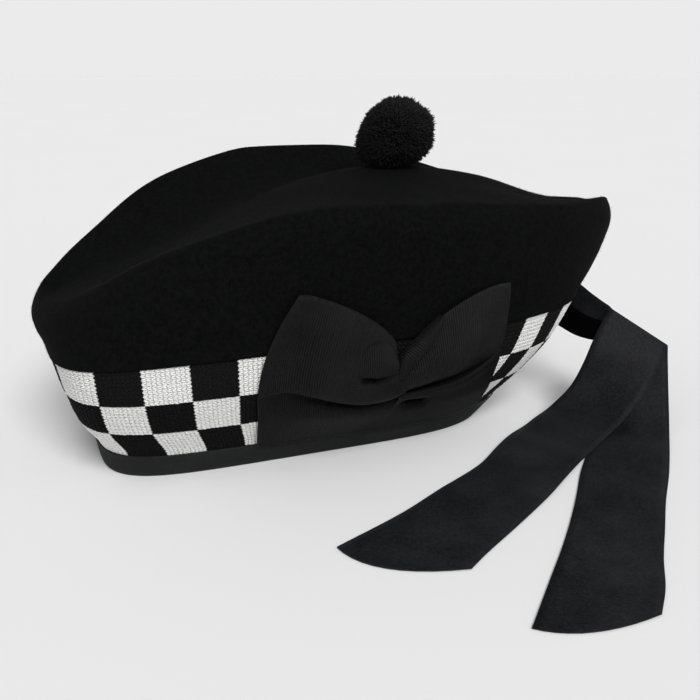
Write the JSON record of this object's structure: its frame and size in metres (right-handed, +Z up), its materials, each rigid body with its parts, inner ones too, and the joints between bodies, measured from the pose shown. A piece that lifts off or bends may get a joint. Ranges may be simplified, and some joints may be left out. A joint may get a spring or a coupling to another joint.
{
  "type": "diced wool bonnet",
  "caption": "Soft wool bonnet with a diced band, ribbon-bound edge, side bow, pompom on the crown and loose ribbon tails, standing open side down.",
  "frame": {"origin": "middle of the head opening, on the surface that the bound edge stands on", "axes": "+Z up through the crown, -Y toward the front, +X toward the wearer's left, where the bow is"},
  "size_m": [0.3239, 0.3271, 0.1769],
  "materials": {
    "wool": "milled black wool",
    "knit": "knitted black and white checks",
    "ribbon": "black grosgrain ribbon",
    "pompom": "cut wool pile"
  },
  "bodies": {
    "root": {"crown": "wool", "diced_band": "knit", "binding": "ribbon", "bow_left_loop": "ribbon", "bow_right_loop": "ribbon", "bow_knot": "ribbon", "toorie": "pompom", "ribbon_fold": "ribbon", "ribbon_tail_front": "ribbon", "ribbon_tail_back": "ribbon"}
  },
  "joints": []
}
